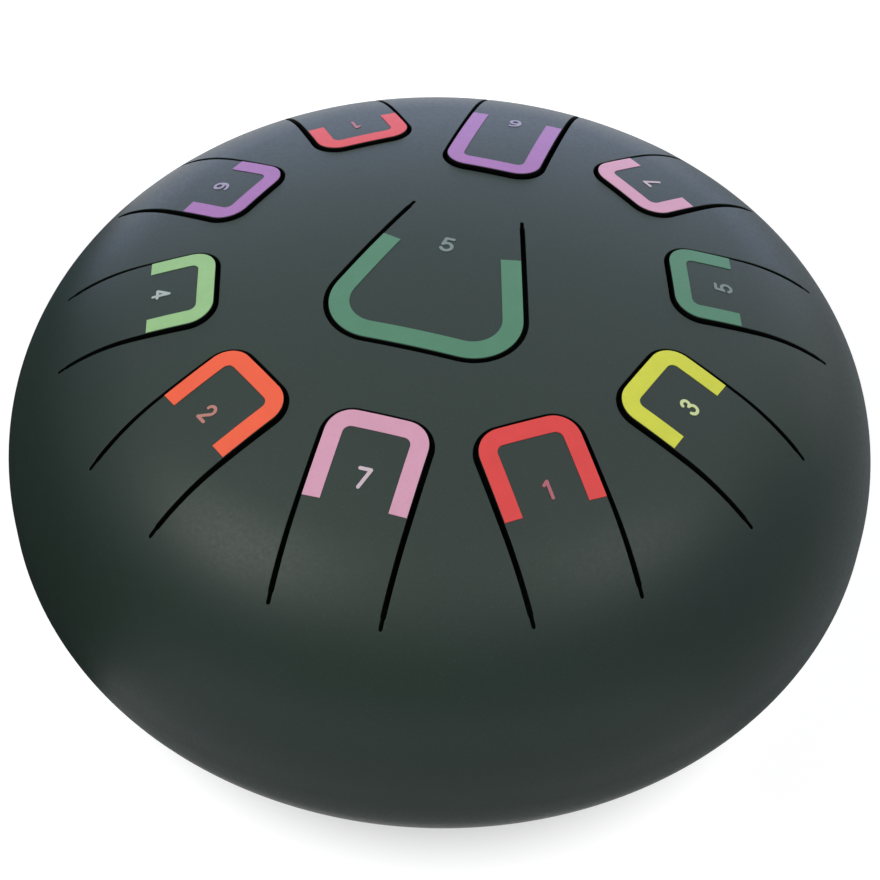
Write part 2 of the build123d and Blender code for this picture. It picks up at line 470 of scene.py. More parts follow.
@dataclass(frozen=True)
class Tongue:
    """One tongue, with its plan measured along the line from the drum's axis to its root."""

    name: str
    ink: Ink
    length: float
    turn: float
    root: float = 106.7 * MM
    root_width: float = 27.994 * MM
    tip_width: float = 27.994 * MM
    corner: float = 7 * MM
    tip_slot: float = 1 * MM
    band_width: float = 4.8 * MM
    band_to_root: float = 25.2 * MM
    flex_length: float = 22.7 * MM
    lift: float = math.radians(1)

    @property
    def tip(self) -> float:
        """The tip's place along the tongue's line."""
        return self.root - self.length

    @property
    def lean(self) -> float:
        """How much each side spreads per length towards the tip."""
        return (self.tip_width - self.root_width) / (2 * self.length)

    @property
    def side_stretch(self) -> float:
        """Length of a leaning side for each length along the tongue."""
        return math.hypot(1, self.lean)

    @property
    def body(self) -> str:
        """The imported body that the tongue's free end belongs to."""
        return f"tongue_{self.name}_blade"

    def half_width(self, at: np.ndarray | float, grow: np.ndarray | float) -> np.ndarray | float:
        """Finds half the tongue's width, with both sides moved outwards.

        Args:
            at: Place along the tongue's line.
            grow: How far the sides are moved.

        Returns:
            Half the width there.
        """
        return self.root_width / 2 + self.lean * (self.root - at) + grow * self.side_stretch

    def turned(self, local: np.ndarray) -> np.ndarray:
        """Turns points or directions of the tongue's plan to the drum's plan.

        Args:
            local: Places along and across the tongue's line, one to a row.

        Returns:
            The same in the drum's plan.
        """
        a = math.radians(self.turn)
        along, across = np.array((math.sin(a), -math.cos(a))), np.array((math.cos(a), math.sin(a)))
        return local[:, :1] * along + local[:, 1:] * across

    def localised(self, plan: np.ndarray) -> np.ndarray:
        """Turns points of the drum's plan to the tongue's plan."""
        a = math.radians(self.turn)
        return plan @ np.array(((math.sin(a), math.cos(a)), (-math.cos(a), math.sin(a))))

    def flexed(self, plan: np.ndarray) -> np.ndarray:
        """Finds how far points take part in the tongue's bend.

        Args:
            plan: Points in the drum's plan, one to a row.

        Returns:
            0 at the root and 1 from the end of the bend on.
        """
        share = np.clip((self.root - self.localised(plan)[:, 0]) / self.flex_length, 0, 1)
        return share**2 * (3 - 2 * share)

    def raised(self, rows: np.ndarray, share: np.ndarray | float,
               hinge: np.ndarray | float) -> np.ndarray:
        """Turns points or directions up, as the tongue stands at rest.

        Args:
            rows: Points or directions, one to a row.
            share: How much of the lift each one takes.
            hinge: A point of the root line for points, or zero for directions.

        Returns:
            The turned points or directions.
        """
        a = math.radians(self.turn)
        along, upright = np.array((math.sin(a), -math.cos(a), 0)), np.array((0, 0, 1))
        out, rise = (rows - hinge) @ along, (rows - hinge) @ upright
        angle = self.lift * share
        further = out * np.cos(angle) + rise * np.sin(angle) - out
        higher = rise * np.cos(angle) - out * np.sin(angle) - rise
        return rows + np.outer(further, along) + np.outer(higher, upright)


@dataclass
class CutLoop:
    """A closed cut edge in plan. Points of a root line have no direction into a gap."""

    points: np.ndarray
    outward: np.ndarray
    rooted: np.ndarray

    def backwards(self) -> "CutLoop":
        """The same loop, run the other way."""
        return CutLoop(self.points[::-1], self.outward[::-1], self.rooted[::-1])

    def inset(self, distance: float) -> "CutLoop":
        """The same loop, moved back into its sheet."""
        return CutLoop(self.points - distance * self.outward, self.outward, self.rooted)

    def holds(self, plan: np.ndarray) -> np.ndarray:
        """Tests which points lie inside the loop.

        Args:
            plan: Points in plan, one to a row.

        Returns:
            True for each point inside.
        """
        x, y = plan[:, 0], plan[:, 1]
        inside = np.zeros(len(plan), bool)
        for (x0, y0), (x1, y1) in zip(self.points, np.roll(self.points, -1, axis=0)):
            if y0 != y1:
                inside ^= ((y0 > y) != (y1 > y)) & (x < (x1 - x0) * (y - y0) / (y1 - y0) + x0)
        return inside


@dataclass(frozen=True)
class SlotCut:
    """The cut round a tongue: a slot along its sides and tip, and a narrow cut on at each root."""

    width: float = 1.4 * MM
    stub_width: float = 1 * MM
    stub_length: float = 2 * MM
    ease: float = 0.35 * MM
    step: float = 1.6 * MM
    arc_steps: int = 14
    stub_steps: int = 4
    stub_arc_steps: int = 10
    ease_steps: int = 8
    least_steps: int = 4
    root_steps: int = 18

    @property
    def tab(self) -> float:
        """How far the tongue's sides stand out beside the narrow cuts."""
        return (self.width - self.stub_width) / 2

    def flank(self, tongue: Tongue, start: float, leg: float, stub: float,
              back: float) -> tuple[np.ndarray, np.ndarray]:
        """Runs one side from its root towards the tip.

        Args:
            tongue: The tongue.
            start: Where the side starts along the tongue's line.
            leg: How far the slot's edge lies outside the tongue's side.
            stub: How far the narrow cut's edge lies outside it.
            back: How much less the edge lies outside the tip.

        Returns:
            Points and directions away from the tongue, in its plan.
        """
        neck = tongue.root - self.stub_length
        spread = (tongue.corner + leg) * tongue.lean / tongue.side_stretch
        bend = tongue.tip + back + tongue.corner + spread
        stub_run = np.linspace(start, neck + self.ease, self.stub_steps)
        ease_run = np.linspace(neck + self.ease, neck - self.ease, self.ease_steps)[1:-1]
        count = max(self.least_steps, round((neck - self.ease - bend) / self.step))
        leg_run = np.linspace(neck - self.ease, bend, count + 1)[:-1]
        at = np.concatenate((stub_run, ease_run, leg_run))
        share = np.clip((neck + self.ease - at) / (2 * self.ease), 0, 1)
        grow = stub + (leg - stub) * share**2 * (3 - 2 * share)
        slope = tongue.side_stretch * (leg - stub) * 3 * share * (1 - share) / self.ease
        rise = tongue.lean + slope
        away = np.column_stack((rise, np.ones_like(rise)))
        points = np.column_stack((at, tongue.half_width(at, grow)))
        return points, away / np.linalg.norm(away, axis=1)[:, None]

    def corner(self, tongue: Tongue, grow: float, back: float) -> tuple[np.ndarray, np.ndarray]:
        """Rounds the corner from a side to the tip.

        Args:
            tongue: The tongue.
            grow: How far the edge lies outside the tongue's side.
            back: How much less it lies outside the tip.

        Returns:
            Points and directions away from the tongue, in its plan.
        """
        turn = np.linspace(math.atan2(1, tongue.lean), math.pi, self.arc_steps)
        away = np.column_stack((np.cos(turn), np.sin(turn)))
        along = tongue.tip + back + tongue.corner
        centre = np.array((along, tongue.half_width(along, -tongue.corner)))
        return centre + (tongue.corner + grow) * away, away

    def stub_end(self, tongue: Tongue) -> tuple[np.ndarray, np.ndarray]:
        """Rounds the blind end of a narrow cut, from the root line outwards.

        Args:
            tongue: The tongue.

        Returns:
            Points and directions into the cut, in the tongue's plan.
        """
        aside = np.array((tongue.lean, 1)) / tongue.side_stretch
        onward = np.array((1, -tongue.lean)) / tongue.side_stretch
        turn = np.linspace(0, math.pi, self.stub_arc_steps)[:-1, None]
        into = aside * np.cos(turn) - onward * np.sin(turn)
        corner = np.array((tongue.root, tongue.half_width(tongue.root, self.tab)))
        centre = corner + aside * self.stub_width / 2
        return centre - into * self.stub_width / 2, into

    def loop(self, tongue: Tongue, of_shell: bool) -> CutLoop:
        """Draws the tongue's edge, or the edge of the window that it leaves in the shell.

        Args:
            tongue: The tongue.
            of_shell: True for the window's edge.

        Returns:
            The loop, with its sheet on the left.
        """
        leg = self.width if of_shell else 0.0
        stub = self.tab + self.stub_width if of_shell else self.tab
        lead = self.stub_width * tongue.lean / tongue.side_stretch
        start = tongue.root + (lead if of_shell else 0)
        back = leg - tongue.tip_slot if of_shell else 0.0
        runs = [self.flank(tongue, start, leg, stub, back), self.corner(tongue, leg, back)]
        points = np.concatenate([run[0] for run in runs])
        away = np.concatenate([run[1] for run in runs])
        if of_shell:
            end_points, end_into = self.stub_end(tongue)
            points = np.concatenate((end_points, points))
            away = np.concatenate((end_into, -away))
        reach = points[-1, 1]
        count = max(self.least_steps, round(2 * reach / self.step))
        tips = np.linspace(reach, -reach, count + 1)[1:-1]
        tip_points = np.column_stack((np.full_like(tips, points[-1, 0]), tips))
        tip_away = np.tile(away[-1], (len(tips), 1))
        flip = np.array((1, -1))
        roots = np.linspace(-points[0, 1], points[0, 1], self.root_steps)[1:-1]
        root_points = np.column_stack((np.full_like(roots, tongue.root), roots))
        whole = np.concatenate((root_points, points, tip_points, (points * flip)[::-1]))
        outward = np.concatenate((np.zeros_like(root_points), away, tip_away, (away * flip)[::-1]))
        rooted = np.arange(len(whole)) < len(root_points)
        loop = CutLoop(tongue.turned(whole), tongue.turned(outward), rooted)
        return loop.backwards() if of_shell else loop


@dataclass
class SheetDraft:
    """A closed sheet under construction, with its own shading direction at each face corner."""

    points: list[np.ndarray] = field(default_factory=list)
    faces: list[list[int]] = field(default_factory=list)
    shading: list[np.ndarray] = field(default_factory=list)
    walls: list[float] = field(default_factory=list)

    def add_points(self, points: np.ndarray) -> list[int]:
        """Adds points.

        Args:
            points: Places, one to a row.

        Returns:
            Their numbers.
        """
        first = len(self.points)
        self.points.extend(points)
        return list(range(first, first + len(points)))

    def add_face(self, corners: list[int], shading: list[np.ndarray], wall: bool = False) -> None:
        """Adds a face.

        Args:
            corners: Its points' numbers.
            shading: A shading direction for each corner.
            wall: True for the wall of a slot, which the coat darkens with painted shade.
        """
        self.faces.append(corners)
        self.shading.extend(shading)
        self.walls.append(float(wall))

    def finished(self, name: str, material: bpy.types.Material) -> bpy.types.Object:
        """Makes the mesh and its object.

        Args:
            name: The piece's name.
            material: Its finish.

        Returns:
            The object, at the origin.
        """
        mesh = bpy.data.meshes.new(name)
        mesh.from_pydata([tuple(p) for p in self.points], [], self.faces)
        mesh.shade_smooth()
        mesh.normals_split_custom_set([tuple(n) for n in self.shading])
        mesh.attributes.new(SLOT_SHADE_SHARE, "FLOAT", "FACE").data.foreach_set("value", self.walls)
        mesh.materials.append(material)
        return placed(name, mesh)


@dataclass(frozen=True)
class PressedSheet:
    """Turns plan outlines into sheet on the crown skin, with softened upper edges."""

    skin: CrownSkin
    thickness: float = SHEET
    edge_round: float = 0.2 * MM
    round_steps: int = 3
    seed_clearance: float = 1.1 * MM
    least_area: float = 1e-10
    merge_below: float = 1e-6
    fill_hull: int = 0

    def hinge(self, tongue: Tongue) -> np.ndarray:
        """The middle of the sheet at a tongue's root."""
        root = tongue.turned(np.array(((tongue.root, 0.0),)))
        return self.skin.points(root, -self.thickness / 2)[0]

    def triangles(self, plan: np.ndarray, rings: list[list[int]]) -> np.ndarray:
        """Fills points in plan with triangles that keep to the given rings.

        Args:
            plan: Points in plan, one to a row.
            rings: Closed rings of point numbers.

        Returns:
            Triangles of point numbers, counter-clockwise.
        """
        edges = [(a, b) for ring in rings for a, b in zip(ring, ring[1:] + ring[:1])]
        scaled = [Vector(p) for p in plan / MM]
        _, _, faces, sources, _, _ = delaunay_2d_cdt(
            scaled, edges, [], self.fill_hull, self.merge_below, True)
        made = np.array([[sources[corner][0] for corner in face] for face in faces])
        a, b, c = (plan[made[:, k]] for k in range(3))
        turn = (b - a)[:, 0] * (c - a)[:, 1] - (b - a)[:, 1] * (c - a)[:, 0]
        made[turn < 0] = made[turn < 0][:, ::-1]
        return made[np.abs(turn) > self.least_area]

    def lay(self, draft: SheetDraft, loops: list[CutLoop], bounded: bool, seeds: np.ndarray,
            ring: np.ndarray) -> tuple[list[int], list[int]]:
        """Lays sheet with cut edges.

        Args:
            draft: The mesh that it goes into.
            loops: The cut edges, with the sheet on their left.
            bounded: True where the loop bounds the sheet, and False where the ring does.
            seeds: Points inside the sheet that even out its triangles.
            ring: Points of an outer ring that another surface goes on from, or none.

        Returns:
            The ring's points on the upper and on the lower face.
        """
        base = np.concatenate([loop.points for loop in loops] + [ring, seeds])
        inset = np.concatenate([loop.inset(self.edge_round).points for loop in loops])
        upper = np.concatenate((inset, ring, seeds))
        starts = np.cumsum([0] + [len(loop.points) for loop in loops])
        rings = [list(range(a, b)) for a, b in zip(starts, starts[1:])]
        ring_numbers = list(range(starts[-1], starts[-1] + len(ring)))
        made = self.triangles(upper, rings + ([ring_numbers] if len(ring) else []))
        middles = upper[made].mean(axis=1)
        kept = np.ones(len(made), bool)
        for loop in loops:
            inside = loop.inset(self.edge_round).holds(middles)
            kept &= inside if bounded else ~inside
        tops = draft.add_points(self.skin.points(upper))
        bottoms = draft.add_points(self.skin.points(base, -self.thickness))
        top_shade = self.skin.normals(upper)
        bottom_shade = -self.skin.normals(base, -self.thickness)
        for face in made[kept]:
            draft.add_face([tops[k] for k in face], [top_shade[k] for k in face])
            draft.add_face([bottoms[k] for k in face[::-1]], [bottom_shade[k] for k in face[::-1]])
        for loop, numbers in zip(loops, rings):
            self.edge(draft, loop, [tops[k] for k in numbers], [bottoms[k] for k in numbers],
                      top_shade[numbers])
        return [tops[k] for k in ring_numbers], [bottoms[k] for k in ring_numbers]

    def edge(self, draft: SheetDraft, loop: CutLoop, tops: list[int], bottoms: list[int],
             shade: np.ndarray) -> None:
        """Closes a cut edge between the sheet's two faces.

        Args:
            draft: The mesh that it goes into.
            loop: The cut edge.
            tops: Its points on the upper face.
            bottoms: Its points on the lower face.
            shade: Shading directions at the upper points.
        """
        sideways = np.column_stack((loop.outward, np.zeros(len(loop.outward))))
        columns = [[top] for top in tops]
        shades = [[s] for s in shade]
        for turn in np.linspace(0, math.pi / 2, self.round_steps + 1)[1:]:
            plan = loop.points - self.edge_round * (1 - math.sin(turn)) * loop.outward
            row = self.skin.points(plan)
            row[:, 2] -= self.edge_round * (1 - math.cos(turn))
            lit = math.cos(turn) * shade + math.sin(turn) * sideways
            for k in np.flatnonzero(~loop.rooted):
                columns[k] += draft.add_points(row[k:k + 1])
                shades[k].append(lit[k])
        for k, bottom in enumerate(bottoms):
            columns[k].append(bottom)
            shades[k].append(sideways[k])
        count = len(columns)
        for k in range(count):
            after = (k + 1) % count
            if loop.rooted[k] or loop.rooted[after]:
                run = loop.points[after] - loop.points[k]
                facing = np.array((run[1], -run[0], 0)) / np.linalg.norm(run)
                corners = columns[k] + columns[after][::-1]
                draft.add_face(corners, [facing] * len(corners))
                continue
            # Faces below the rounded edge are slot walls, which the coat darkens with painted
            # shade.
            for row in range(len(columns[k]) - 1):
                ways = ((k, row), (k, row + 1), (after, row + 1), (after, row))
                draft.add_face([columns[i][j] for i, j in ways], [shades[i][j] for i, j in ways],
                               wall=row >= self.round_steps)


@dataclass
class UpperShell:
    """Upper shell: the windowed crown, its shoulder and its straight rim down to the weld."""

    sheet: PressedSheet
    cut: SlotCut
    tongues: list[Tongue]
    crown_reach: float = 113 * MM
    rim_foot: float = 59 * MM
    rim_round: float = 0.01 * MM
    around: int = 360
    roll_steps: int = 22
    rim_steps: int = 4
    seed_step: float = 3 * MM
    ring_seeds: int = 6

    def seeds(self) -> np.ndarray:
        """Spreads points on rings over the sheet between the windows.

        Returns:
            Points in plan, one to a row.
        """
        rows = []
        for step in range(1, int((self.crown_reach - self.seed_step / 2) / self.seed_step) + 1):
            away = step * self.seed_step
            count = self.ring_seeds * step
            turn = (np.arange(count) + (step % 2) / 2) * math.tau / count
            rows.append(np.column_stack((away * np.cos(turn), away * np.sin(turn))))
        plan = np.concatenate(rows)
        clear = self.cut.width + self.sheet.edge_round + self.sheet.seed_clearance
        kept = np.hypot(plan[:, 0], plan[:, 1]) < self.crown_reach - self.seed_step / 2
        for tongue in self.tongues:
            along, across = tongue.localised(plan).T
            inside = np.abs(across) < tongue.half_width(along, clear)
            inside &= (along > tongue.tip - clear) & (along < tongue.root + clear)
            kept &= ~inside
        return plan[kept]

    def roll(self) -> list[tuple[float, float, Span, Span]]:
        """Draws the section from the crown over the shoulder and rim and back inside.

        Returns:
            For each point its distance from the axis, its height, and its shading on either side.
        """
        skin, thick = self.sheet.skin, self.sheet.thickness
        section = []
        outer = math.asin((self.crown_reach - skin.shoulder_from_axis) / skin.shoulder_radius)
        for turn in np.linspace(outer, math.pi / 2, self.roll_steps):
            shade = (math.sin(turn), math.cos(turn))
            section.append((skin.shoulder_from_axis + skin.shoulder_radius * shade[0],
                            skin.shoulder_height + skin.shoulder_radius * shade[1], shade, shade))
        rim = skin.shoulder_from_axis + skin.shoulder_radius
        for turn in np.linspace(0, math.pi / 2, self.rim_steps):
            shade = (math.cos(turn), -math.sin(turn))
            section.append((rim - self.rim_round * (1 - shade[0]),
                            self.rim_foot + self.rim_round * (1 + shade[1]), shade, shade))
        section.append((rim - thick, self.rim_foot, (0, -1), (-1, 0)))
        bend = skin.shoulder_radius - thick
        inner = math.asin((self.crown_reach - skin.shoulder_from_axis) / bend)
        for turn in np.linspace(math.pi / 2, inner, self.roll_steps):
            shade = (-math.sin(turn), -math.cos(turn))
            section.append((skin.shoulder_from_axis - bend * shade[0],
                            skin.shoulder_height - bend * shade[1], shade, shade))
        return section

    @staticmethod
    def ring(spokes: np.ndarray, away: float, height: float) -> np.ndarray:
        """Takes points or directions round the axis, at one distance and one height."""
        return np.column_stack((spokes * away, np.full(len(spokes), height)))

    def build(self, material: bpy.types.Material) -> bpy.types.Object:
        """Builds the shell.

        Args:
            material: The coat.

        Returns:
            The finished piece.
        """
        draft = SheetDraft()
        turn = np.arange(self.around) * math.tau / self.around
        spokes = np.column_stack((np.cos(turn), np.sin(turn)))
        loops = [self.cut.loop(tongue, True) for tongue in self.tongues]
        top, bottom = self.sheet.lay(draft, loops, False, self.seeds(), spokes * self.crown_reach)
        section = self.roll()
        rows = [top]
        for away, height, _, _ in section[1:-1]:
            rows.append(draft.add_points(self.ring(spokes, away, height)))
        rows.append(bottom)
        for k in range(len(rows) - 1):
            leaving = self.ring(spokes, *section[k][3])
            coming = self.ring(spokes, *section[k + 1][2])
            for j in range(self.around):
                n = (j + 1) % self.around
                draft.add_face([rows[k][j], rows[k + 1][j], rows[k + 1][n], rows[k][n]],
                               [leaving[j], coming[j], coming[n], leaving[n]])
        shell = draft.finished("upper_shell", material)
        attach(shell, DRUM)
        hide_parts("top_shell")
        return shell


@dataclass
class TongueSet:
    """The eleven tongues, each one sheet with the upper shell at its root."""

    sheet: PressedSheet
    cut: SlotCut
    tongues: list[Tongue]
    seed_step: float = 3 * MM

    def seeds(self, tongue: Tongue) -> np.ndarray:
        """Spreads points over a tongue, clear of its edges.

        Args:
            tongue: The tongue.

        Returns:
            Points in plan, one to a row.
        """
        clear = self.sheet.edge_round + self.sheet.seed_clearance
        wide = tongue.half_width(tongue.tip, 0)
        along = np.arange(tongue.tip + clear, tongue.root - clear, self.seed_step)
        across = np.arange(-wide, wide, self.seed_step)
        local = np.array([(u, v + (k % 2) * self.seed_step / 2)
                          for k, u in enumerate(along) for v in across])
        kept = np.abs(local[:, 1]) < tongue.half_width(local[:, 0], -clear)
        bend = tongue.tip + tongue.corner
        centre = tongue.half_width(bend, -tongue.corner)
        near_tip = (local[:, 0] < bend) & (np.abs(local[:, 1]) > centre)
        off = np.hypot(local[:, 0] - bend, np.abs(local[:, 1]) - centre)
        kept &= ~(near_tip & (off > tongue.corner - clear))
        return tongue.turned(local[kept])

    def build(self, tongue: Tongue, material: bpy.types.Material) -> bpy.types.Object:
        """Builds one tongue, bending at its root.

        Args:
            tongue: The tongue.
            material: The coat.

        Returns:
            The finished piece.
        """
        draft = SheetDraft()
        loop = self.cut.loop(tongue, False)
        self.sheet.lay(draft, [loop], True, self.seeds(tongue), np.zeros((0, 2)))
        points = np.array(draft.points)
        share = tongue.flexed(points[:, :2])
        draft.points = list(tongue.raised(points, share, self.sheet.hinge(tongue)))
        at_corners = share[[corner for face in draft.faces for corner in face]]
        draft.shading = list(tongue.raised(np.array(draft.shading), at_corners, 0))
        blade = draft.finished(f"blade_{tongue.name}", material)
        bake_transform(blade)
        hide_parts(f"tongue_{tongue.name}")
        return blade


class GrowTree(NodeBench):
    """A geometry node tree under construction, with named inputs."""

    def __init__(self, name: str) -> None:
        """Starts an empty tree.

        Args:
            name: The tree's name.
        """
        super().__init__(bpy.data.node_groups.new(name, "GeometryNodeTree"))
        for way in ("INPUT", "OUTPUT"):
            self.tree.interface.new_socket("Geometry", in_out=way, socket_type="NodeSocketGeometry")
        self.source, self.sink = self.node("NodeGroupInput", {}), self.node("NodeGroupOutput", {})

    def input(self, name: str, kind: str) -> Socket:
        """Adds a named input.

        Args:
            name: Its name.
            kind: Float, Int or Material.

        Returns:
            The socket that gives its value.
        """
        self.tree.interface.new_socket(name, in_out="INPUT", socket_type=f"NodeSocket{kind}")
        return self.source.outputs[name]

    def end(self, shape: Socket, crease: float) -> None:
        """Ends the tree: smooth shading up to a crease, real geometry and the material.

        Args:
            shape: The geometry.
            crease: The sharpest edge that is still shaded smooth, in radians.
        """
        material = self.input("Finish", "Material")
        angle = self.node("GeometryNodeInputMeshEdgeAngle", {}).outputs["Unsigned Angle"]
        soft = self.step("FunctionNodeCompare", {"A": angle, "B": crease}, operation="LESS_THAN")
        shape = self.step("GeometryNodeRealizeInstances", {"Geometry": shape})
        for domain, smooth in (("FACE", True), ("EDGE", soft)):
            sockets = {"Geometry": shape, "Shade Smooth": smooth}
            shape = self.step("GeometryNodeSetShadeSmooth", sockets, domain=domain)
        dressed = self.step("GeometryNodeSetMaterial", {"Geometry": shape, "Material": material})
        self.feed(self.sink.inputs[0], dressed)

    def grown(self, name: str, points: np.ndarray, values: dict[str, object]) -> bpy.types.Object:
        """Runs the tree on a line of points and keeps the result as a plain mesh.

        Args:
            name: The piece's name.
            points: The line that the tree starts from, one point to a row.
            values: Values of the tree's inputs by name.

        Returns:
            The object, at the origin.
        """
        line = bpy.data.meshes.new(f"{name}_line")
        edges = [(k, k + 1) for k in range(len(points) - 1)]
        line.from_pydata([tuple(p) for p in points], edges, [])
        made = placed(name, line)
        modifier = made.modifiers.new("Grow", "NODES")
        modifier.node_group = self.tree
        for item in self.tree.interface.items_tree:
            if item.in_out == "INPUT" and item.name in values:
                modifier[item.identifier] = values[item.name]
        graph = bpy.context.evaluated_depsgraph_get()
        mesh = bpy.data.meshes.new_from_object(made.evaluated_get(graph))
        made.modifiers.clear()
        made.data = mesh
        mesh.name = name
        bpy.data.meshes.remove(line)
        shape = bmesh.new()
        shape.from_mesh(mesh)
        bmesh.ops.recalc_face_normals(shape, faces=shape.faces)
        shape.to_mesh(mesh)
        shape.free()
        return made


@dataclass
class BandSet:
    """The coloured bands: a flat film swept round each tip and laid on the crown."""

    sheet: PressedSheet
    film: float = 0.15 * MM
    sink: float = 0.04 * MM
    inset: float = 0.1 * MM
    run_step: float = 0.7 * MM
    corner_steps: int = 24
    width_cuts: int = 3
    crease: float = math.radians(40)
    tree: GrowTree = field(init=False)

    def __post_init__(self) -> None:
        """Builds the tree that all bands share."""
        self.tree = self.grow_tree()

    def grow_tree(self) -> GrowTree:
        """Builds the tree that sweeps a band along its line.

        Returns:
            The tree.
        """
        grow = GrowTree("tip_band")
        names = ("Width", "Corner", "Film", "Sink", "Crown Radius", "Crown Centre", "Step")
        inputs = [grow.input(name, "Float") for name in names]
        width, corner, film, sink, crown, centre, step = inputs
        line = grow.step("GeometryNodeMeshToCurve", {"Mesh": grow.source.outputs["Geometry"]})
        line = grow.step("GeometryNodeFilletCurve", {
            "Curve": line, "Radius": corner, "Count": self.corner_steps}, mode="POLY")
        line = grow.step("GeometryNodeResampleCurve", {"Curve": line, "Length": step},
                         mode="LENGTH")
        depth = grow.maths("ADD", film, sink)
        profile = grow.step("GeometryNodeCurvePrimitiveQuadrilateral", {
            "Width": width, "Height": depth})
        profile = grow.step("GeometryNodeSubdivideCurve", {
            "Curve": profile, "Cuts": self.width_cuts})
        swept = grow.step("GeometryNodeCurveToMesh", {
            "Curve": line, "Profile Curve": profile, "Fill Caps": True})
        place = grow.step("GeometryNodeInputPosition", {})
        parts = grow.node("ShaderNodeSeparateXYZ", {"Vector": place}).outputs
        middle = grow.maths("ADD", parts["Z"], grow.maths("MULTIPLY", depth, 0.5))
        lift = grow.maths("SUBTRACT", middle, sink)
        squares = [grow.maths("POWER", value, 2.0)
                   for value in (grow.maths("ADD", crown, lift), parts["X"], parts["Y"])]
        rest = grow.maths("SUBTRACT", squares[0], grow.maths("ADD", squares[1], squares[2]))
        height = grow.maths("ADD", grow.maths("SQRT", rest), centre)
        target = grow.step("ShaderNodeCombineXYZ", {"X": parts["X"], "Y": parts["Y"], "Z": height})
        laid = grow.step("GeometryNodeSetPosition", {"Geometry": swept, "Position": target})
        grow.end(laid, self.crease)
        return grow

    def build(self, tongue: Tongue, material: bpy.types.Material) -> bpy.types.Object:
        """Builds one band.

        Args:
            tongue: The tongue that carries it.
            material: Its ink.

        Returns:
            The finished piece.
        """
        back = self.inset + tongue.band_width / 2
        stop, tip = tongue.root - tongue.band_to_root, tongue.tip + back
        corners = ((stop, 1), (tip, 1), (tip, -1), (stop, -1))
        local = np.array([(at, side * tongue.half_width(at, -back)) for at, side in corners])
        plan = tongue.turned(local)
        line = np.column_stack((plan, np.zeros(len(plan))))
        band = self.tree.grown(f"colour_band_{tongue.name}", line, {
            "Width": tongue.band_width, "Corner": tongue.corner - back, "Film": self.film,
            "Sink": self.sink, "Crown Radius": self.sheet.skin.crown_radius,
            "Crown Centre": self.sheet.skin.crown_centre, "Step": self.run_step, "Finish": material,
        })
        points = np.array([vertex.co for vertex in band.data.vertices])
        raised = tongue.raised(points, 1, self.sheet.hinge(tongue))
        band.data.vertices.foreach_set("co", raised.ravel())
        band.data.update()
        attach(band, tongue.body)
        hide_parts(f"band_{tongue.name}")
        return band


class TurnedTree(GrowTree):
    """A tree that turns a section round the upright axis."""

    crease: ClassVar[float] = math.radians(32)
    merge_below: ClassVar[float] = 0.002 * MM

    def __init__(self, name: str, copies: int = 0) -> None:
        """Builds the tree.

        Args:
            name: The tree's name.
            copies: How many copies stand on a ring, or 0 for the turned piece itself.
        """
        super().__init__(name)
        section = self.source.outputs["Geometry"]
        around = self.input("Segments", "Int")
        count = self.node("GeometryNodeAttributeDomainSize", {"Geometry": section},
                          component="MESH").outputs["Point Count"]
        columns = self.maths("ADD", around, 1.0)
        grid = self.step("GeometryNodeMeshGrid", {"Vertices X": columns, "Vertices Y": count})
        # Half is added so that rounding can't take a point to the row or column before its own.
        number = self.maths("ADD", self.step("GeometryNodeInputIndex", {}), 0.5)
        row = self.maths("FLOOR", self.maths("MODULO", number, count))
        column = self.maths("FLOOR", self.maths("DIVIDE", number, count))
        place = self.step("GeometryNodeInputPosition", {})
        sockets = {"Geometry": section, "Value": place, "Index": row}
        found = self.step("GeometryNodeSampleIndex", sockets, data_type="FLOAT_VECTOR",
                          domain="POINT")
        angle = self.maths("DIVIDE", self.maths("MULTIPLY", column, math.tau), around)
        turned = self.step("ShaderNodeVectorRotate", {"Vector": found, "Angle": angle},
                           rotation_type="Z_AXIS")
        shape = self.step("GeometryNodeSetPosition", {"Geometry": grid, "Position": turned})
        shape = self.step("GeometryNodeMergeByDistance", {
            "Geometry": shape, "Distance": self.merge_below})
        if copies:
            shape = self.on_ring(shape, copies)
        self.end(shape, self.crease)

    def on_ring(self, shape: Socket, copies: int) -> Socket:
        """Stands copies on a ring, half a step round from the right-hand side.

        Args:
            shape: The piece.
            copies: How many.

        Returns:
            The copies.
        """
        radius, turn = self.input("Ring Radius", "Float"), (0, 0, math.pi / copies)
        ring = self.step("GeometryNodeMeshCircle", {"Vertices": copies, "Radius": radius},
                         fill_type="NONE")
        ring = self.step("GeometryNodeTransform", {"Geometry": ring, "Rotation": turn})
        return self.step("GeometryNodeInstanceOnPoints", {"Points": ring, "Instance": shape})


def arc(centre: Span, radius: float, sweep: Span, steps: int) -> list[list[float]]:
    """Draws part of a circle in a section.

    Args:
        centre: Its centre's distance from the axis and height.
        radius: Its radius.
        sweep: First and last angle from the level, in degrees.
        steps: How many points.

    Returns:
        The points, with a zero between distance and height.
    """
    turns = np.radians(np.linspace(*sweep, steps))
    return [[centre[0] + radius * math.cos(t), 0, centre[1] + radius * math.sin(t)] for t in turns]


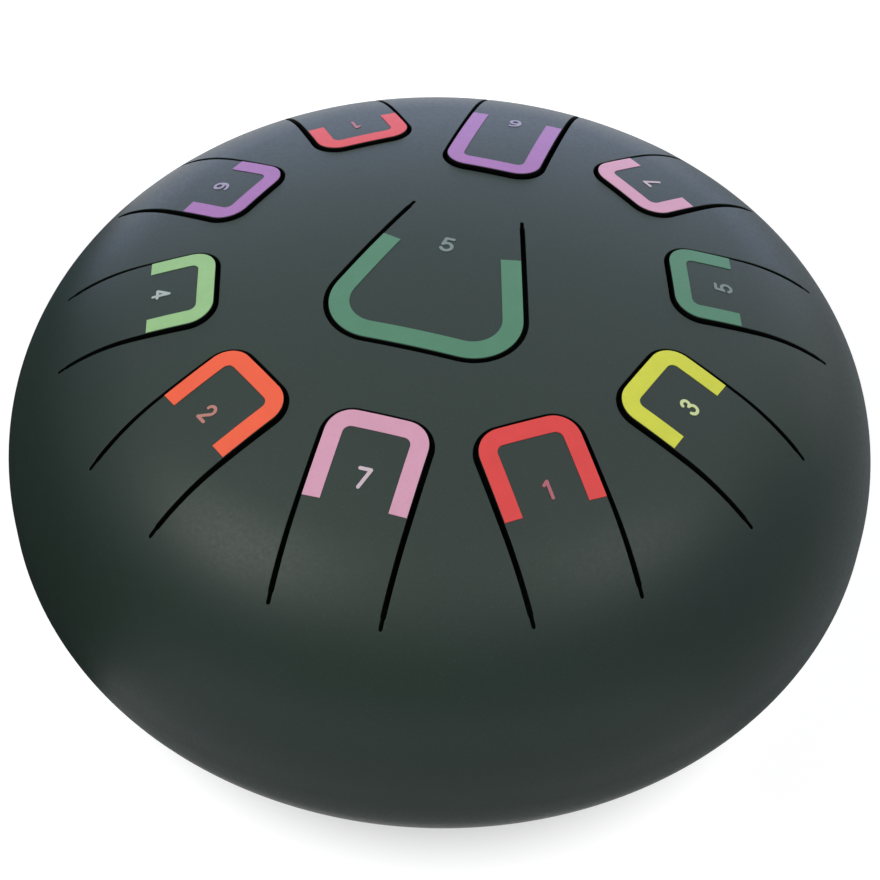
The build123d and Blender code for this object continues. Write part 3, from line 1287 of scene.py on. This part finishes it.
@dataclass
class LowerShell:
    """Lower shell: a pressed bowl with a flat base round its sound hole."""

    base_radius: float = 58 * MM
    base_flat: float = 15 * MM
    base_height: float = 6 * MM
    hole_radius: float = 28 * MM
    hole_round: float = 0.5 * MM
    rim_head: float = 57 * MM
    bend_radius: float = 32 * MM
    bend_height: float = 56 * MM
    hole_steps: int = 5
    dish_steps: int = 26
    bend_steps: int = 20

    def section(self) -> np.ndarray:
        """Draws the bowl's sheet as a closed section.

        Returns:
            Points, the last one on the first.
        """
        base, bend, nip = self.base_height, self.bend_radius, self.hole_round
        bend_centre = (RIM_RADIUS - bend, self.bend_height)
        reach, rise = bend_centre[0] - self.base_radius, self.bend_height - base
        dish = (rise**2 + reach**2 - bend**2) / (2 * (rise - bend))
        dish_centre = (self.base_radius, base + dish)
        split = -math.degrees(math.acos(reach / (dish - bend)))
        lip, flat = self.hole_radius + nip, self.base_radius - self.base_flat
        line = arc((lip, base + nip), nip, (180, 270), self.hole_steps)
        line += [[flat, 0, base]]
        line += arc(dish_centre, dish, (-90, split), self.dish_steps)
        line += arc(bend_centre, bend, (split, 0), self.bend_steps)[1:]
        line += [[RIM_RADIUS, 0, self.rim_head], [RIM_RADIUS - SHEET, 0, self.rim_head]]
        line += arc(bend_centre, bend - SHEET, (0, split), self.bend_steps)
        line += arc(dish_centre, dish - SHEET, (split, -90), self.dish_steps)[1:]
        line += [[flat, 0, base + SHEET]]
        line += arc((lip, base + SHEET - nip), nip, (90, 180), self.hole_steps)
        return np.array(line + line[:1])

    def build(self, tree: TurnedTree, material: bpy.types.Material) -> bpy.types.Object:
        """Builds the bowl.

        Args:
            tree: The turning tree.
            material: The coat.

        Returns:
            The finished piece.
        """
        bowl = tree.grown("lower_shell", self.section(), {
            "Segments": RIM_SEGMENTS, "Finish": material})
        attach(bowl, DRUM)
        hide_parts("bottom_shell")
        return bowl


@dataclass
class RimWeld:
    """The weld between the rims, ground flush outside, with its bead inside."""

    height: float = 58 * MM
    half_height: float = 1 * MM
    bead: float = 0.8 * MM
    bead_steps: int = 9

    def section(self) -> np.ndarray:
        """Draws the weld as a closed section.

        Returns:
            Points, the last one on the first.
        """
        low, high = self.height - self.half_height, self.height + self.half_height
        bow = (self.half_height**2 - self.bead**2) / (2 * self.bead)
        half = math.degrees(math.asin(self.half_height / (self.bead + bow)))
        centre = (RIM_RADIUS - SHEET + bow, self.height)
        line = [[RIM_RADIUS, 0, low], [RIM_RADIUS, 0, high]]
        line += arc(centre, self.bead + bow, (180 - half, 180 + half), self.bead_steps)
        return np.array(line + line[:1])

    def build(self, tree: TurnedTree, material: bpy.types.Material) -> bpy.types.Object:
        """Builds the weld.

        Args:
            tree: The turning tree.
            material: The coat.

        Returns:
            The finished piece.
        """
        ring = tree.grown("rim_weld", self.section(), {
            "Segments": RIM_SEGMENTS, "Finish": material})
        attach(ring, DRUM)
        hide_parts("seam_weld")
        return ring


@dataclass
class RubberFeet:
    """Four push-in feet, each a round pad with a barbed stem."""

    ring_radius: float = 43 * MM
    pad_radius: float = 8 * MM
    pad_height: float = 6 * MM
    pad_round: float = 1.2 * MM
    head_round: float = 0.4 * MM
    stem_radius: float = 3.4 * MM
    barb_radius: float = 4.4 * MM
    barb_tip: float = 2.2 * MM
    barb_foot: float = 7.6 * MM
    barb_height: float = 4 * MM
    pad_steps: int = 7
    head_steps: int = 5
    around: int = 64
    count: int = 4

    def section(self) -> np.ndarray:
        """Draws one foot's section, from its middle below to its middle above.

        Returns:
            Points, one to a row.
        """
        top = self.barb_foot + self.barb_height
        line = [[0, 0, 0]]
        line += arc((self.pad_radius - self.pad_round, self.pad_round), self.pad_round, (-90, 0),
                    self.pad_steps)
        line += arc((self.pad_radius - self.head_round, self.pad_height - self.head_round),
                    self.head_round, (0, 90), self.head_steps)
        line += [[self.stem_radius, 0, self.pad_height], [self.stem_radius, 0, self.barb_foot]]
        line += [[self.barb_radius, 0, self.barb_foot], [self.barb_tip, 0, top], [0, 0, top]]
        return np.array(line)

    def build(self, material: bpy.types.Material) -> bpy.types.Object:
        """Builds the feet.

        Args:
            material: The rubber.

        Returns:
            The finished piece.
        """
        tree = TurnedTree("rubber_foot", copies=self.count)
        feet = tree.grown("rubber_feet", self.section(), {
            "Segments": self.around, "Ring Radius": self.ring_radius, "Finish": material})
        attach(feet, DRUM)
        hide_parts("foot_front_left", "foot_front_right", "foot_back_left", "foot_back_right")
        return feet


@dataclass
class Numerals:
    """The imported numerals, in an ink paler and duller than their bands."""

    tongues: list[Tongue]

    def dress(self) -> None:
        """Gives each packed numeral its ink."""
        made = {ink: BandInk(f"numeral_{ink.value}", colour).material()
                for ink, colour in NUMERAL_COLOURS.items()}
        for tongue in self.tongues:
            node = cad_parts[f"numeral_{tongue.name}"]
            node.data.materials.clear()
            node.data.materials.append(made[tongue.ink])


@dataclass(frozen=True)
class SoftLight:
    """One soft box."""

    name: str
    place: Place
    size: Span
    watts: float
    colour: Colour = (1, 1, 1)
    aim: Place = (0, 0, 0.1)

    def build(self) -> bpy.types.Object:
        """Hangs the soft box, facing its aim.

        Returns:
            The soft box.
        """
        lamp = bpy.data.lights.new(self.name, "AREA")
        lamp.shape = "RECTANGLE"
        lamp.size, lamp.size_y = self.size
        lamp.energy = self.watts
        lamp.color = self.colour
        box = placed(self.name, lamp)
        box.location = self.place
        ahead = Vector(self.aim) - Vector(self.place)
        box.rotation_euler = ahead.to_track_quat("-Z", "Y").to_euler()
        return box


@dataclass(frozen=True)
class Card:
    """A stage card that curves round the drum, unseen by the camera.

    A standing card casts a shadow too. A lying card only shows in the coat.
    """

    name: str
    sweep: Span
    edges: tuple[Span, Span]
    colour: Colour
    lying: bool = False
    around: int = 40
    rough: float = 1.0

    def build(self) -> bpy.types.Object:
        """Sets up the card between its two edges, each a distance from the axis and a height.

        Returns:
            The card.
        """
        turns, count = np.radians(np.linspace(*self.sweep, self.around)), self.around
        points = [(away * math.cos(t), away * math.sin(t), z)
                  for away, z in self.edges for t in turns]
        faces = [(k, k + 1, k + 1 + count, k + count) for k in range(count - 1)]
        mesh = bpy.data.meshes.new(self.name)
        mesh.from_pydata(points, [], faces)
        cloth = bpy.data.materials.new(self.name)
        cloth.use_nodes = True
        shader = cloth.node_tree.nodes["Principled BSDF"]
        shader.inputs["Base Color"].default_value = (*self.colour, 1)
        shader.inputs["Roughness"].default_value = self.rough
        mesh.materials.append(cloth)
        card = placed(self.name, mesh)
        card.visible_camera = False
        card.visible_shadow = not self.lying
        return card


@dataclass
class Studio:
    """White room, soft boxes and the camera."""

    white: Colour = (1, 1, 1)
    ambient: Colour = (0.96, 0.98, 1.0)
    ambient_strength: float = 0.80
    floor_colour: Colour = (0.30, 0.30, 0.30)
    # Painted shade: the floor's near-black colour right under the drum.
    painted_shade_colour: Colour = (0.02, 0.02, 0.02)
    floor_white: float = 0.95
    floor_reach: float = 6.0
    camera_place: Place = (0.1079, -0.3997, 0.5023)
    azimuth: float = 15.11
    pitch: float = 46.90
    roll: float = 1.37
    lens: float = 82.6
    sensor: float = 36
    clip: Span = (0.01, 50)
    # Painted shade under the drum: the floor turns dark within the first reach, and its white glow
    # fades out within the second.
    painted_shade_reach: Span = (0.035, 0.060)
    shade_reach: Span = (0.065, 0.120)
    shown_to: tuple[str, ...] = ("Is Camera Ray", "Is Glossy Ray", "Is Transmission Ray")
    cards: tuple[Card, ...] = (
        Card("side_curtain", (146, 395), ((1.3, 0.2), (1.3, 1.1)), (0.60, 0.60, 0.60)),
        Card("left_skirt", (146, 210), ((1.3, 0), (1.3, 0.2)), (0.01, 0.01, 0.01)),
        Card("front_skirt", (210, 395), ((1.3, 0), (1.3, 0.2)), (0.60, 0.60, 0.60)),
        Card("left_card", (140, 227), ((0.12, 0.001), (1.3, 0.001)), (0.01, 0.01, 0.01), True),
        Card("front_card", (227, 335), ((0.12, 0.001), (0.36, 0.001)), (0.65, 0.65, 0.65), True),
        Card("right_card", (-25, 85), ((0.12, 0.001), (1.3, 0.001)), (0.45, 0.45, 0.45), True),
    )
    boxes: tuple[SoftLight, ...] = (
        SoftLight("back_strip", (-0.40, 1.15, 0.20), (2.4, 0.36), 4.5, (0.307, 0.455, 1.0)),
        SoftLight("back_box", (-0.20, 1.1, 1.0), (1.9, 1.2), 2.1, (0.24, 0.45, 1.0)),
        SoftLight("key_box", (-0.49, -0.40, 0.82), (0.45, 0.45), 3.0, (1.0, 1.0, 0.97)),
        SoftLight("fill_box", (0.56, -0.10, 0.86), (0.40, 0.40), 1.3, (1.0, 0.98, 0.97)),
    )

    def shown_white(self, bench: NodeBench) -> Socket:
        """Finds whether a ray sees the room white.

        Args:
            bench: The material's or the world's tree.

        Returns:
            1 for such a ray and 0 for another.
        """
        path = bench.node("ShaderNodeLightPath", {}).outputs
        found = path[self.shown_to[0]]
        for kind in self.shown_to[1:]:
            found = bench.maths("MAXIMUM", found, path[kind])
        return found

    def clear_of_drum(self, bench: NodeBench, reach: Span) -> Socket:
        """Finds how far a point of the floor is out from under the drum, as a mask for the floor's
        painted shade.

        Args:
            bench: The floor's tree.
            reach: Distances from the axis between which it comes out.

        Returns:
            0 under the drum and 1 clear of it.
        """
        place = bench.node("ShaderNodeTexCoord", {}).outputs["Object"]
        away = bench.step("ShaderNodeVectorMath", {"Vector": place}, operation="LENGTH")
        return bench.remap(away, reach, curve="SMOOTHSTEP")

    def build_world(self) -> None:
        """Fills the room with soft light and shows white behind the drum."""
        world = bpy.data.worlds.new("white_room")
        world.use_nodes = True
        bench = NodeBench(world.node_tree)
        bench.tree.nodes.clear()
        soft = bench.step("ShaderNodeBackground", {
            "Color": self.ambient, "Strength": self.ambient_strength})
        white = bench.step("ShaderNodeBackground", {"Color": self.white})
        room = bench.row("ShaderNodeMixShader", self.shown_white(bench), soft, white)
        bench.node("ShaderNodeOutputWorld", {"Surface": room})
        bpy.context.scene.world = world

    def build_floor(self) -> None:
        """Lays a pale floor with painted shade: dark right under the drum, and its white glow
        fading out round it, over the shadow that the drum casts.
        """
        reach = self.floor_reach
        corners = [(x * reach, y * reach, 0) for x, y in ((-1, -1), (1, -1), (1, 1), (-1, 1))]
        mesh = bpy.data.meshes.new("floor")
        mesh.from_pydata(corners, [], [(0, 1, 2, 3)])
        floor = placed("floor", mesh)
        material = bpy.data.materials.new("pale_floor")
        material.use_nodes = True
        bench = NodeBench(material.node_tree)
        bench.tree.nodes.clear()
        # Painted shade: near-black floor colour right under the drum.
        unshaded_share = self.clear_of_drum(bench, self.painted_shade_reach)
        shaded_floor_tint = bench.mix(unshaded_share, self.painted_shade_colour, self.floor_colour)
        white = bench.maths("MULTIPLY", self.shown_white(bench), self.floor_white)
        # Painted shadow: the white glow fades out near the drum.
        lit = bench.maths("MULTIPLY", white, self.clear_of_drum(bench, self.shade_reach))
        matt = bench.step("ShaderNodeBsdfDiffuse", {"Color": shaded_floor_tint})
        glow = bench.step("ShaderNodeEmission", {"Strength": lit})
        both = bench.row("ShaderNodeAddShader", matt, glow)
        bench.node("ShaderNodeOutputMaterial", {"Surface": both})
        mesh.materials.append(material)

    def build_camera(self) -> None:
        """Sets the camera at the photograph's view."""
        az, dip, roll = (math.radians(a) for a in (self.azimuth, self.pitch, self.roll))
        ahead = Vector((-math.sin(az) * math.cos(dip), math.cos(az) * math.cos(dip),
                        -math.sin(dip)))
        right = Vector((math.cos(az), math.sin(az), 0))
        up = right.cross(ahead)
        rolled_right = right * math.cos(roll) + up * math.sin(roll)
        rolled_up = up * math.cos(roll) - right * math.sin(roll)
        lens = bpy.data.cameras.new("camera")
        lens.lens = self.lens
        lens.sensor_width = self.sensor
        lens.clip_start, lens.clip_end = self.clip
        camera = placed("camera", lens)
        turn = Matrix((rolled_right, rolled_up, -ahead)).transposed()
        camera.matrix_world = Matrix.Translation(self.camera_place) @ turn.to_4x4()
        bpy.context.scene.camera = camera

    def build(self) -> None:
        """Builds the whole studio."""
        bpy.context.scene.view_settings.view_transform = "Standard"
        self.build_world()
        self.build_floor()
        for prop in self.cards + self.boxes:
            prop.build()
        self.build_camera()


def drum_tongues() -> list[Tongue]:
    """Lists the tongues: the centre one, then the outer ones counter-clockwise from the front.

    Returns:
        All eleven tongues.
    """
    outer = (
        ("low_7", Ink.PINK, 51.1), ("1", Ink.RED, 48.5), ("3", Ink.YELLOW, 44.7),
        ("5", Ink.GREEN, 43.6), ("7", Ink.PINK, 42.1), ("low_6", Ink.PURPLE, 60.8),
        ("high_1", Ink.RED, 42), ("6", Ink.PURPLE, 43.3), ("4", Ink.LIGHT_GREEN, 43.8),
        ("2", Ink.ORANGE, 46.8),
    )
    centre = Tongue("low_5", Ink.GREEN, 56 * MM, 180, root=23.9 * MM, root_width=30.3 * MM,
                    tip_width=63 * MM, corner=14 * MM, tip_slot=SlotCut.width, band_width=5.6 * MM,
                    band_to_root=16.9 * MM, flex_length=12.2 * MM, lift=0)
    step = 360 / len(outer)
    near_root = {"1": 23.5 * MM, "2": 24 * MM}
    made = [Tongue(name, ink, size * MM, k * step,
                   band_to_root=near_root.get(name, Tongue.band_to_root))
            for k, (name, ink, size) in enumerate(outer)]
    return [centre] + made


def main() -> None:
    """Builds the drum's pieces in order, then the studio."""
    logging.basicConfig(level=logging.INFO, format="%(name)s: %(message)s")
    tongues, skin, cut = drum_tongues(), CrownSkin(), SlotCut()
    sheet = PressedSheet(skin)
    coat, rubber = PowderCoat().material(), FootRubber().material()
    inks = {ink: BandInk(ink.value, colour).material() for ink, colour in BAND_COLOURS.items()}
    turning = TurnedTree("turned_shell")
    pieces = [
        UpperShell(sheet, cut, tongues).build(coat),
        LowerShell().build(turning, coat),
        RimWeld().build(turning, coat),
        RubberFeet().build(rubber),
    ]
    blades, bands = TongueSet(sheet, cut, tongues), BandSet(sheet)
    for tongue in tongues:
        pieces.append(blades.build(tongue, coat))
        pieces.append(bands.build(tongue, inks[tongue.ink]))
    Numerals(tongues).dress()
    Studio().build()
    for piece in pieces:
        log.info("%s: %d faces", piece.name, len(piece.data.polygons))


if __name__ == "__main__":
    main()
